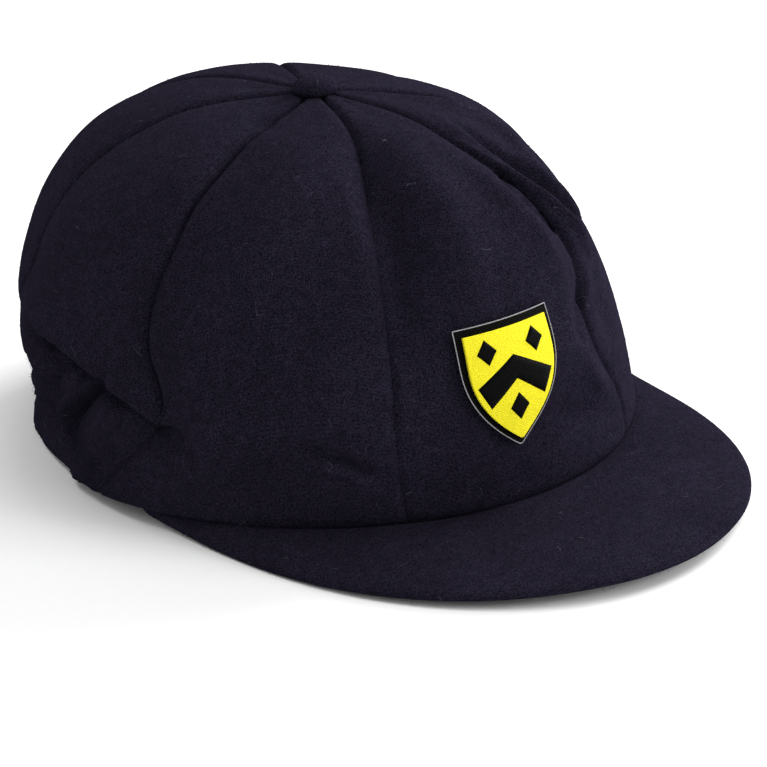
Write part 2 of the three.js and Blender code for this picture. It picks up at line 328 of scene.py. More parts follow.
@dataclass(frozen=True)
class FeltedWool:
    """Heavy felted wool: a short matted nap, heathered colour and a few pale lint fibres.

    A grain is a size in metres, and a range holds the values of its noise that become 0 and 1. Lint lies
    along the bent edges of cells, where the noise of its patches comes near lint_least.
    """

    name: str
    deep: Colour = (0.0030, 0.0025, 0.0045, 1.0)
    violet: Colour = (0.0380, 0.0285, 0.0540, 1.0)
    blue: Colour = (0.0285, 0.0285, 0.0490, 1.0)
    dye_grain: float = 1.3 * MM
    dye_range: Range = (0.35, 0.65)
    speck_grain: float = 0.5 * MM
    speck_range: Range = (0.34, 0.66)
    tuft_grain: float = 3.2 * MM
    tuft_range: Range = (-0.5, 0.9)
    wear_grain: float = 34 * MM
    wear_range: Range = (-0.6, 0.7)
    rib: float = 0.8 * MM
    rib_range: Range = (-3.5, 1.0)
    lint: Colour = (0.045, 0.042, 0.057, 1.0)
    lint_cells: float = 95.0
    lint_line: Range = (0.011, 0.004)
    lint_patch: float = 5 * MM
    lint_least: float = 0.7
    lint_edge: float = 0.01
    lint_spread: float = 0.02
    lint_share: float = 0.2
    lint_bends: float = 70.0
    lint_bend: float = 0.02
    matted_grain: float = 2.6 * MM
    matted_height: float = 0.35 * MM
    matted_strength: float = 0.55
    fibre_grain: float = 0.55 * MM
    fibre_height: float = 0.22 * MM
    fibre_strength: float = 0.8
    roughness_range: Range = (-1.5, 0.8)
    sheen: float = 0.012
    sheen_roughness: float = 0.5
    sheen_tint: Colour = (0.66, 0.56, 0.9, 1.0)

    def make(self) -> bpy.types.Material:
        """Builds the material.

        Returns:
            The material.
        """
        graph = NodeGraph(self.name)
        tuft = graph.noise(self.tuft_grain)
        colour = self.linted(graph, self.heathered(graph, tuft))
        mats = graph.noise(self.matted_grain, detail=4.0, roughness=0.6)
        fibres = graph.noise(self.fibre_grain, detail=4.0, roughness=0.75)
        matted = graph.bump(mats, self.matted_height, self.matted_strength)
        normal = graph.bump(fibres, self.fibre_height, self.fibre_strength, matted)
        graph.set_shader(Base_Color=colour, Normal=normal, Roughness=graph.ramp(tuft, self.roughness_range))
        graph.set_shader(Specular_IOR_Level=0.0, Sheen_Weight=self.sheen)
        graph.set_shader(Sheen_Roughness=self.sheen_roughness, Sheen_Tint=self.sheen_tint)
        return graph.material

    def heathered(self, graph: NodeGraph, tuft: bpy.types.NodeSocket) -> bpy.types.NodeSocket:
        """The colour of two dyes over a deep ground, darker in specks, tufts, worn places and ribs.

        Args:
            graph: The material's nodes.
            tuft: The noise of the tufts.

        Returns:
            The colour.
        """
        speck = graph.noise(self.speck_grain, detail=2.0, roughness=0.8)
        wear = graph.noise(self.wear_grain, detail=2.0)
        ribs = graph.bands("DIAGONAL", SLANTING_BAND / self.rib, wander=2.5, detail_scale=1.5)
        heather = graph.times(graph.ramp(speck, self.speck_range), graph.ramp(tuft, self.tuft_range))
        heather = graph.times(heather, graph.ramp(wear, self.wear_range))
        heather = graph.times(heather, graph.ramp(ribs, self.rib_range))
        share = graph.ramp(graph.noise(self.dye_grain, roughness=0.7), self.dye_range)
        return graph.mix(heather, self.deep, graph.mix(share, self.violet, self.blue))

    def linted(self, graph: NodeGraph, cloth: bpy.types.NodeSocket) -> bpy.types.NodeSocket:
        """The cloth's colour with fibres of lint in a few patches of it.

        Args:
            graph: The material's nodes.
            cloth: The cloth's colour.

        Returns:
            The colour.
        """
        inputs = {"Vector": graph.place, "Scale": self.lint_bends, "Detail": 2.0}
        wander = graph.add("ShaderNodeTexNoise", inputs).outputs["Color"]
        inputs = {0: wander, "Scale": self.lint_bend}
        warp = graph.add("ShaderNodeVectorMath", inputs, operation="SCALE").outputs[0]
        bent = graph.add("ShaderNodeVectorMath", {0: graph.place, 1: warp}, operation="ADD").outputs[0]
        inputs = {"Vector": bent, "Scale": self.lint_cells}
        cells = graph.add("ShaderNodeTexVoronoi", inputs, feature="DISTANCE_TO_EDGE")
        line = graph.ramp(cells.outputs["Distance"], self.lint_line)
        rarest = self.lint_least - self.lint_edge - self.lint_spread * self.lint_share
        here = graph.ramp(graph.noise(self.lint_patch, detail=1.0), (rarest, self.lint_least))
        return graph.mix(graph.times(line, here), cloth, self.lint)


@dataclass(frozen=True)
class SatinStitch:
    """Embroidery thread laid side by side in rows."""

    name: str
    thread: Colour
    shade: Colour
    gloss: float = 0.2
    pitch: float = 0.5 * MM
    row_range: Range = (-0.6, 1.0)
    row_height: float = 0.22 * MM
    row_strength: float = 0.7
    stray_grain: float = 1.4 * MM
    stray_range: Range = (0.1, 0.75)
    stray_height: float = 0.2 * MM
    stray_strength: float = 0.4
    roughness_range: Range = (-0.8, 1.6)
    sheen: float = 0.003
    brushed: float = 0.4

    def make(self) -> bpy.types.Material:
        """Builds the material.

        Returns:
            The material.
        """
        graph = NodeGraph(self.name)
        rows = graph.bands("Z", STRAIGHT_BAND / self.pitch, wander=0.6, detail_scale=3.0)
        stray = graph.noise(self.stray_grain, detail=4.0, roughness=0.7)
        factor = graph.times(graph.ramp(rows, self.row_range), graph.ramp(stray, self.stray_range))
        colour = graph.mix(factor, self.shade, self.thread)
        uneven = graph.bump(stray, self.stray_height, self.stray_strength)
        normal = graph.bump(rows, self.row_height, self.row_strength, uneven)
        graph.set_shader(Base_Color=colour, Normal=normal, Roughness=graph.ramp(stray, self.roughness_range))
        graph.set_shader(Specular_IOR_Level=self.gloss, Sheen_Weight=self.sheen, Anisotropic=self.brushed)
        return graph.material


@dataclass(frozen=True)
class StudioPaper:
    """The pale floor."""

    name: str = "pale_floor"
    colour: Colour = (0.93, 0.93, 0.93, 1.0)
    shade: float = 0.97
    grain: float = 4 * MM
    roughness: float = 0.9

    def make(self) -> bpy.types.Material:
        """Builds the material.

        Returns:
            The material.
        """
        graph = NodeGraph(self.name)
        darker = tuple(self.shade * c for c in self.colour[:3]) + (1.0,)
        colour = graph.mix(graph.noise(self.grain), darker, self.colour)
        graph.set_shader(Base_Color=colour, Roughness=self.roughness)
        return graph.material


def activate(*objects: bpy.types.Object) -> None:
    """Selects objects and nothing else, with the last one active.

    Args:
        objects: The objects.
    """
    bpy.ops.object.select_all(action="DESELECT")
    for each in objects:
        each.select_set(True)
        bpy.context.view_layer.objects.active = each


@contextmanager
def editing(piece: bpy.types.Object) -> Iterator[None]:
    """Opens a piece in edit mode and closes it again.

    Args:
        piece: The piece.

    Yields:
        Nothing.
    """
    activate(piece)
    bpy.ops.object.mode_set(mode="EDIT")
    yield
    bpy.ops.object.mode_set(mode="OBJECT")


def deselect(piece: bpy.types.Object, kind: str) -> None:
    """Deselects all of a piece.

    Args:
        piece: The piece.
        kind: What will be selected next, EDGE or FACE.
    """
    with editing(piece):
        bpy.ops.mesh.select_mode(type=kind)
        bpy.ops.mesh.select_all(action="DESELECT")


def copy_of_node(node: str, name: str) -> bpy.types.Object:
    """A copy of a node's solid with its loose triangles merged.

    Args:
        node: The node to copy.
        name: The copy's name.

    Returns:
        The copy.
    """
    source = bpy.data.objects[node]
    piece = bpy.data.objects.new(name, source.data.copy())
    piece.data.name = name
    piece.data.materials.clear()
    bpy.context.scene.collection.objects.link(piece)
    with editing(piece):
        bpy.ops.mesh.select_all(action="SELECT")
        bpy.ops.mesh.remove_doubles(threshold=MERGE_GAP)
    return piece


def split_at_walls(piece: bpy.types.Object, thickness: float, hub: Vector) -> None:
    """Cuts a shell's side walls away, so that its outer and inner faces come apart.

    Args:
        piece: The shell, as triangles.
        thickness: The shell's thickness, which is the length of the edges through its wall.
        hub: A place inside the hollow; the edges through the wall point away from it.
    """
    mesh = piece.data
    deselect(piece, "EDGE")
    for edge in mesh.edges:
        start, end = (mesh.vertices[i].co for i in edge.vertices)
        run = end - start
        away = (start - hub).normalized()
        exact = abs(run.length - thickness) < LENGTH_SLACK
        edge.select = exact and abs(run.normalized().dot(away)) > THROUGH_WALL
    with editing(piece):
        bpy.ops.mesh.delete(type="EDGE")


def keep_linked(piece: bpy.types.Object, start: int) -> None:
    """Keeps the faces that hang together with a first one.

    Args:
        piece: The piece.
        start: The first face's number.
    """
    deselect(piece, "FACE")
    piece.data.polygons[start].select = True
    with editing(piece):
        bpy.ops.mesh.select_linked()
        bpy.ops.mesh.select_all(action="INVERT")
        bpy.ops.mesh.delete(type="FACE")
        bpy.ops.mesh.select_all(action="SELECT")
        bpy.ops.mesh.delete_loose()


def join_triangles(piece: bpy.types.Object) -> None:
    """Joins a piece's triangles two by two into quads.

    Args:
        piece: The piece.
    """
    with editing(piece):
        bpy.ops.mesh.select_all(action="SELECT")
        bpy.ops.mesh.tris_convert_to_quads(face_threshold=QUAD_BEND, shape_threshold=QUAD_SKEW)


def apply_modifier(piece: bpy.types.Object, kind: str, **settings: object) -> None:
    """Adds a modifier to a piece and applies it.

    Args:
        piece: The piece.
        kind: The modifier's type.
        settings: The modifier's attributes.
    """
    activate(piece)
    modifier = piece.modifiers.new(kind.lower(), kind)
    for key, value in settings.items():
        setattr(modifier, key, value)
    bpy.ops.object.modifier_apply(modifier=modifier.name)


def subdivide(piece: bpy.types.Object, levels: int) -> None:
    """Smooths a piece into a finer mesh, with the corners of an open sheet kept sharp."""
    apply_modifier(piece, "SUBSURF", levels=levels, render_levels=levels, boundary_smooth="PRESERVE_CORNERS")


def smooth(piece: bpy.types.Object) -> None:
    """Shades a piece smooth."""
    activate(piece)
    bpy.ops.object.shade_smooth()


def read_points(piece: bpy.types.Object) -> np.ndarray:
    """A piece's points.

    Args:
        piece: The piece.

    Returns:
        Rows of x, y, z.
    """
    points = np.empty(len(piece.data.vertices) * 3)
    piece.data.vertices.foreach_get("co", points)
    return points.reshape(-1, 3)


def write_points(piece: bpy.types.Object, points: np.ndarray) -> None:
    """Moves a piece's points to rows of x, y, z."""
    piece.data.vertices.foreach_set("co", points.ravel())
    piece.data.update()


def dress(piece: bpy.types.Object, material: bpy.types.Material, slot: str, *nodes: str) -> None:
    """Gives a piece its material and its body, and hides the nodes that it stands for.

    Args:
        piece: The piece.
        material: The material.
        slot: A material slot's name, which is not used.
        nodes: The nodes whose place it takes.
    """
    piece.data.materials.clear()
    piece.data.materials.append(material)
    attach(piece, "root")
    if nodes:
        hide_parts(*nodes)
    log.info("%s: %d faces", piece.name, len(piece.data.polygons))


@dataclass
class Crown:
    """The eight panels, sewn to each other along rolled seams and pressed into their folds.

    Widths, depths and heights are in metres. The calm round the button, the hem and the allowances shape the
    seams, fill and waves the cloth between them, and the last values how a fold begins, ends and reaches.
    """

    view: PhotoView
    wool: bpy.types.Material
    wall: float = 1.8 * MM
    roll_width: float = 2.4 * MM
    roll_depth: float = 0.85 * MM
    roll_at_rim: float = 0.8
    full_roll_height: float = 45 * MM
    calm_by_button: float = 30 * MM
    roll_at_button: float = 0.3
    hem_drop: float = 0.9 * MM
    hem_below: float = 0.8
    hem_clearance: float = 0.2 * MM
    allowance_clearance: float = 0.1 * MM
    fill_width: float = 6.0 * MM
    fill_height: float = 1.0 * MM
    wave_broad: float = 30 * MM
    wave_fine: float = 11 * MM
    wave_height: float = 0.45 * MM
    wave_fine_share: float = 0.4
    close_up: float = 0.85 * MM
    allowance: float = 2.4 * MM
    fineness: int = 3
    solid_wall: float = 2.0 * MM
    hub_height: float = 40 * MM
    cut_length: float = 165 * MM
    leaf_share: float = 0.74
    lip_sag: float = 0.5
    lip_sharpness: float = 6.0
    lip_taper: float = 3.0
    seen_stretch: float = 5.0
    edge_on: float = 0.25
    fold_ends: float = 0.4
    fold_reach: float = 4.0
    panels: tuple[str, ...] = (
        "panel_front",
        "panel_front_left",
        "panel_side_left",
        "panel_rear_left",
        "panel_back",
        "panel_rear_right",
        "panel_side_right",
        "panel_front_right",
    )
    folds: tuple[Fold, ...] = ()
    pieces: list[bpy.types.Object] = field(default_factory=list)

    def build(self) -> None:
        """Makes and dresses all the panels."""
        for node in self.panels:
            self.pieces.append(self.outer_cloth(node))
        self.press_folds()
        for node, piece in zip(self.panels, self.pieces):
            self.roll_seams(piece)
            apply_modifier(piece, "SOLIDIFY", thickness=self.wall, offset=-1.0, use_rim=True)
            smooth(piece)
            dress(piece, self.wool, "crown_cloth", node)

    def outer_cloth(self, node: str) -> bpy.types.Object:
        """The outer face of a panel's solid, as one fine sheet.

        Args:
            node: The panel's node.

        Returns:
            The sheet.
        """
        piece = copy_of_node(node, node.replace("panel", "wool"))
        hub = Vector(self.view.rim_middle) + Vector((0.0, 0.0, self.hub_height))
        split_at_walls(piece, self.solid_wall, hub)
        start = max(piece.data.polygons, key=lambda f: (f.center - hub).length).index
        keep_linked(piece, start)
        join_triangles(piece)
        subdivide(piece, self.fineness)
        return piece

    def press_folds(self) -> None:
        """Moves the cloth in, out and over along the folds' lines."""
        trees = [BVHTree.FromObject(p, bpy.context.evaluated_depsgraph_get()) for p in self.pieces]
        laid = [self.lay_fold(fold, trees) for fold in self.folds]
        for piece in self.pieces:
            points = read_points(piece)
            outward = points - (np.array(self.view.rim_middle) + (0.0, 0.0, self.hub_height))
            high = np.clip(points[:, 2] / self.full_roll_height, 0, 1)
            outward[:, 2] *= high
            outward /= np.linalg.norm(outward, axis=1)[:, None]
            pixels = self.view.project(points)
            facing = np.clip(outward @ np.array(self.view.axes()[2]) / self.edge_on, 0, 1)
            gaps = nearest_gaps(points, self.border_points(piece))
            fill = self.fill_height * high * np.exp(-((gaps / self.fill_width) ** 2))
            lift = self.unevenness(points) + fill
            push = np.zeros(points.shape)
            for fold, steps, places in laid:
                shape, above, left = self.fold_shape(fold, steps, places, points, pixels)
                if fold.side is Side.SEEN:
                    shape = shape * facing
                if fold.side is Side.LIP:
                    lift += fold.height * MM * shape * (2 * above - 1)
                    push[:, 2] -= fold.height * MM * self.lip_sag * shape * above
                elif fold.side is Side.SHIFT:
                    push += fold.height * MM * shape[:, None] * (left @ np.array(self.view.axes()[:2]))
                else:
                    lift += fold.height * MM * shape
            write_points(piece, points + outward * lift[:, None] + push)

    @staticmethod
    def border_points(piece: bpy.types.Object) -> np.ndarray:
        """The points on the edges of a panel's sheet.

        Args:
            piece: The sheet.

        Returns:
            Rows of x, y, z.
        """
        made = bmesh.new()
        made.from_mesh(piece.data)
        found = np.array([v.co for v in made.verts if v.is_boundary])
        made.free()
        return found

    def unevenness(self, points: np.ndarray) -> np.ndarray:
        """Soft waves of cloth that is steamed and sewn by hand.

        Args:
            points: Rows of x, y, z.

        Returns:
            One lift for each point, in metres.
        """
        broad = [noise.noise(Vector(p) / self.wave_broad) for p in points]
        fine = [noise.noise(Vector(p) / self.wave_fine) for p in points]
        return np.array(broad) * self.wave_height + np.array(fine) * self.wave_height * self.wave_fine_share

    def lay_fold(self, fold: Fold, trees: list[BVHTree]) -> tuple[Fold, np.ndarray, np.ndarray]:
        """Lays a fold's line on the cloth.

        Args:
            fold: The fold.
            trees: The panels to lay it on.

        Returns:
            The fold, the pixels along its line and their places on the cloth.
        """
        steps = dense_line(fold.line)
        places = [self.on_cloth(tuple(step), trees) for step in steps]
        kept = [(step, place) for step, place in zip(steps, places) if place is not None]
        return fold, np.array([step for step, _ in kept]), np.array([place for _, place in kept])

    def fold_shape(self, fold: Fold, steps: np.ndarray, places: np.ndarray, points: np.ndarray,
                   pixels: np.ndarray) -> tuple[np.ndarray, np.ndarray, np.ndarray]:
        """How strongly a fold moves each point, on which side the point lies, and which way is left.

        Args:
            fold: The fold.
            steps: The pixels along its line.
            places: Their places on the cloth.
            points: The points.
            pixels: Their pixels.

        Returns:
            For each point its strength from 0 to 1, its share of lying on the line's left side, and the
            line's left in the picture, as right and up.
        """
        width = fold.width * MM
        reach = self.seen_stretch if fold.side is Side.SEEN else 1.0
        strength = np.zeros(len(points))
        above = np.zeros(len(points))
        left = np.zeros((len(points), 2))
        near = np.linalg.norm(points - places.mean(axis=0), axis=1)
        chosen = np.flatnonzero(near < np.ptp(places, axis=0).max() + self.fold_reach * width * reach)
        if len(chosen) == 0:
            return strength, above, left
        away = np.linalg.norm(points[chosen, None, :] - places[None, :, :], axis=2) / (width * reach)
        if fold.side is Side.SEEN:
            across = np.linalg.norm(pixels[chosen, None, :] - steps[None, :, :], axis=2)
            across /= self.view.pixels_per_metre * width
            away = np.hypot(away, across)
        nearest = away.argmin(axis=1)
        away = away[np.arange(len(chosen)), nearest]
        along = nearest / (len(places) - 1)
        ends = np.clip(np.minimum(along, 1 - along) / self.fold_ends, 0, 1)
        smooth_ends = ends * ends * (3 - 2 * ends)
        taper = np.minimum(self.lip_taper * ends, 1) if fold.side is Side.LIP else smooth_ends
        strength[chosen] = np.exp(-away * away) * taper
        runs = np.gradient(steps, axis=0)[nearest]
        runs /= np.linalg.norm(runs, axis=1)[:, None]
        left[chosen] = runs[:, ::-1]
        offset = (pixels[chosen] - steps[nearest]) * (1, -1)
        side = np.sign((offset * left[chosen]).sum(axis=1))
        above[chosen] = 0.5 + 0.5 * np.tanh(self.lip_sharpness * away * side)
        return strength, above, left

    def on_cloth(self, pixel: Pixel, trees: list[BVHTree]) -> Vector | None:
        """Where a pixel's ray meets the cloth.

        Args:
            pixel: The pixel.
            trees: The panels.

        Returns:
            The nearest place, or None.
        """
        start = self.view.place()
        ray = self.view.ray(pixel)
        hits = [tree.ray_cast(start, ray) for tree in trees]
        met = [(hit[3], hit[0]) for hit in hits if hit[0] is not None]
        return min(met, key=lambda item: item[0])[1] if met else None

    def roll_seams(self, piece: bpy.types.Object) -> None:
        """Rounds a panel's edges inwards, as cloth rolls into a sewn seam, and turns the allowance in.

        Args:
            piece: The panel's outer cloth.
        """
        made = bmesh.new()
        made.from_mesh(piece.data)
        points = np.array([v.co for v in made.verts])
        normals = np.array([v.normal for v in made.verts])
        edge_points = np.array([v.co for v in made.verts if v.is_boundary])
        share = np.clip(1 - nearest_gaps(points, edge_points) / self.roll_width, 0, 1)
        strength = np.clip(points[:, 2] / self.full_roll_height, self.roll_at_rim, 1)
        button = np.array(sum(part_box("button"), Vector()) / 2)
        from_button = np.linalg.norm((points - button)[:, :2], axis=1)
        strength *= np.clip(from_button / self.calm_by_button, self.roll_at_button, 1)
        moved = points - normals * (self.roll_depth * strength * share ** 2)[:, None]
        outward = {v.index: self.outward_along_cloth(v) for v in made.verts if v.is_boundary}
        for vertex, place in zip(made.verts, moved):
            off = outward.get(vertex.index, Vector())
            vertex.co = Vector(place) + off * (self.hem_drop if off.z < -self.hem_below else self.close_up)
            vertex.co.z = max(vertex.co.z, self.hem_clearance)
        inward = {tuple(v.co): -v.normal for v in made.verts if v.is_boundary}
        border = [edge for edge in made.edges if edge.is_boundary]
        turned = bmesh.ops.extrude_edge_only(made, edges=border)["geom"]
        for vertex in (g for g in turned if isinstance(g, bmesh.types.BMVert)):
            vertex.co += inward[tuple(vertex.co)] * self.allowance
            vertex.co.z = max(vertex.co.z, self.allowance_clearance)
        made.to_mesh(piece.data)
        made.free()
        piece.data.update()

    @staticmethod
    def outward_along_cloth(vertex: bmesh.types.BMVert) -> Vector:
        """The direction along the cloth that leads off a panel at a point of its edge.

        Args:
            vertex: The point.

        Returns:
            A unit vector.
        """
        towards = Vector()
        for face in vertex.link_faces:
            towards += vertex.co - face.calc_center_median()
        ends = [edge.other_vert(vertex).co for edge in vertex.link_edges if edge.is_boundary]
        if len(ends) == 2:
            run = (ends[1] - ends[0]).normalized()
            towards -= run * towards.dot(run)
        return towards.normalized()


def nearest_gaps(points: np.ndarray, others: np.ndarray, block: int = 4000) -> np.ndarray:
    """The distance from each point to the nearest of some others.

    Args:
        points: Rows of x, y, z.
        others: Rows of x, y, z.
        block: How many points are measured at a time.

    Returns:
        One distance for each point.
    """
    gaps = np.empty(len(points))
    for start in range(0, len(points), block):
        part = points[start:start + block]
        gaps[start:start + block] = np.linalg.norm(part[:, None] - others[None], axis=2).min(axis=1)
    return gaps


def dense_line(line: tuple[Pixel, ...], step: float = 1.5) -> np.ndarray:
    """Points along a line of pixels, a step apart.

    Args:
        line: The line's corners.
        step: The distance between points, in pixels.

    Returns:
        Rows of across, down.
    """
    corners = np.array(line, float)
    runs = np.linalg.norm(np.diff(corners, axis=0), axis=1)
    reach = np.concatenate([[0.0], np.cumsum(runs)])
    places = np.linspace(0, reach[-1], max(int(reach[-1] / step), 2) + 1)
    return np.stack([np.interp(places, reach, corners[:, k]) for k in (0, 1)], axis=1)


@dataclass
class Peak:
    """The short stiff peak, covered in the same wool."""

    wool: bpy.types.Material
    wave: float = 26 * MM
    wave_height: float = 0.4 * MM
    deepest: float = -0.3
    fineness: int = 3

    def build(self) -> None:
        """Makes and dresses the peak."""
        piece = copy_of_node("peak", "wool_peak")
        join_triangles(piece)
        subdivide(piece, self.fineness)
        points = read_points(piece)
        for point in points:
            wave = noise.noise(Vector((point[0], point[1], 0.0)) / self.wave)
            point[2] += self.wave_height * max(wave, self.deepest)
        points[:, 2] = np.maximum(points[:, 2], 0.0)
        write_points(piece, points)
        smooth(piece)
        dress(piece, self.wool, "peak_cloth", "peak")


@dataclass
class Button:
    """The covered button, with its cloth drawn in under the edge."""

    wool: bpy.types.Material
    pleats: int = 11
    pleat_depth: float = 0.12 * MM
    pleat_length: float = 5 * MM
    fineness: int = 2

    def build(self) -> None:
        """Makes and dresses the button."""
        low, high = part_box("button")
        radius = (high.x - low.x) / 2
        piece = copy_of_node("button", "wool_button")
        join_triangles(piece)
        subdivide(piece, self.fineness)
        points = read_points(piece)
        middle = np.array([(low.x + high.x) / 2, (low.y + high.y) / 2, high.z])
        across = points - middle
        angle = np.arctan2(across[:, 1], across[:, 0])
        reach = np.linalg.norm(across[:, :2], axis=1) / radius
        depth = np.clip(-across[:, 2] / self.pleat_length, 0, 1)
        draw = self.pleat_depth * np.cos(self.pleats * angle) * depth * np.clip(reach, 0, 1)
        points[:, :2] += across[:, :2] / np.maximum(reach * radius, TINY)[:, None] * draw[:, None]
        write_points(piece, points)
        smooth(piece)
        dress(piece, self.wool, "button_cloth", "button")


@dataclass
class Nap:
    """Loose fibres that stand off the wool, as one piece of narrow ribbons."""

    wool: bpy.types.Material
    fibres: int = 16000
    shortest: float = 0.5 * MM
    longest: float = 1.5 * MM
    width: float = 0.08 * MM
    scatter: float = 0.3 * MM
    lean: float = 1.1
    least_rise: float = 0.1
    bend: float = 0.6
    outside: float = 0.2
    seed: int = 7

    def build(self, pieces: list[bpy.types.Object], hub: Vector) -> None:
        """Sows the fibres over the outsides of some pieces.

        Args:
            pieces: The pieces of wool.
            hub: A place inside the crown.
        """
        faces = [
            face
            for piece in pieces
            for face in piece.data.polygons
            if face.normal.dot((face.center - hub).normalized()) > self.outside
        ]
        shares = np.array([f.area for f in faces])
        chance = np.random.default_rng(self.seed)
        chosen = chance.choice(len(faces), self.fibres, p=shares / shares.sum())
        places = np.array([faces[i].center for i in chosen])
        normals = np.array([faces[i].normal for i in chosen])
        places += chance.normal(0, self.scatter, places.shape)
        leaning = normals + self.lean * chance.normal(0, 1, places.shape)
        bending = self.bend * chance.normal(0, 1, places.shape)
        length = chance.uniform(self.shortest, self.longest, (self.fibres, 1))
        leaning /= np.linalg.norm(leaning, axis=1)[:, None]
        rise = (leaning * normals).sum(axis=1, keepdims=True)
        leaning += np.maximum(self.least_rise - rise, 0) * normals
        across = np.cross(leaning, chance.normal(0, 1, places.shape))
        across *= self.width / 2 / np.linalg.norm(across, axis=1)[:, None]
        middle = places + leaning * length / 2
        tip = middle + (leaning + bending) * length / 2
        rows = np.stack([places - across, places + across, middle - across, middle + across, tip], axis=1)
        first = np.arange(self.fibres)[:, None] * rows.shape[1]
        quads = (first + (0, 1, 3, 2)).tolist()
        tips = (first + (2, 3, 4)).tolist()
        mesh = bpy.data.meshes.new("nap_fibres")
        mesh.from_pydata(rows.reshape(-1, 3).tolist(), [], quads + tips)
        piece = bpy.data.objects.new("nap_fibres", mesh)
        bpy.context.scene.collection.objects.link(piece)
        dress(piece, self.wool, "crown_cloth")


@dataclass(frozen=True)
class Motif:
    """A plain shape sewn on the badge, between a bottom line and a top line.

    Both run from left to right, as shares of the shield's half width and half height from its middle.
    """

    name: str
    bottom: tuple[tuple[float, float], ...]
    top: tuple[tuple[float, float], ...]

    @classmethod
    def lozenge(cls, name: str, middle: tuple[float, float], half_width: float, half_height: float) -> Motif:
        """A lozenge.

        Args:
            name: Its name.
            middle: Its middle, across and up.
            half_width: Half its width.
            half_height: Half its height.

        Returns:
            The motif.
        """
        x, y = middle
        left, right = (x - half_width, y), (x + half_width, y)
        return cls(name, (left, (x, y - half_height), right), (left, (x, y + half_height), right))

    def spread(self, points: np.ndarray) -> np.ndarray:
        """Spreads a square grid between the two lines.

        Args:
            points: The grid's points, across and up from -1 to 1.

        Returns:
            Rows of across and up on the shield.
        """
        knots = np.linspace(-1, 1, len(self.bottom))
        low, high = (
            np.stack([np.interp(points[:, 0], knots, [p[k] for p in line]) for k in (0, 1)], axis=1)
            for line in (self.bottom, self.top)
        )
        return low + (high - low) * (points[:, 1:2] + 1) / 2


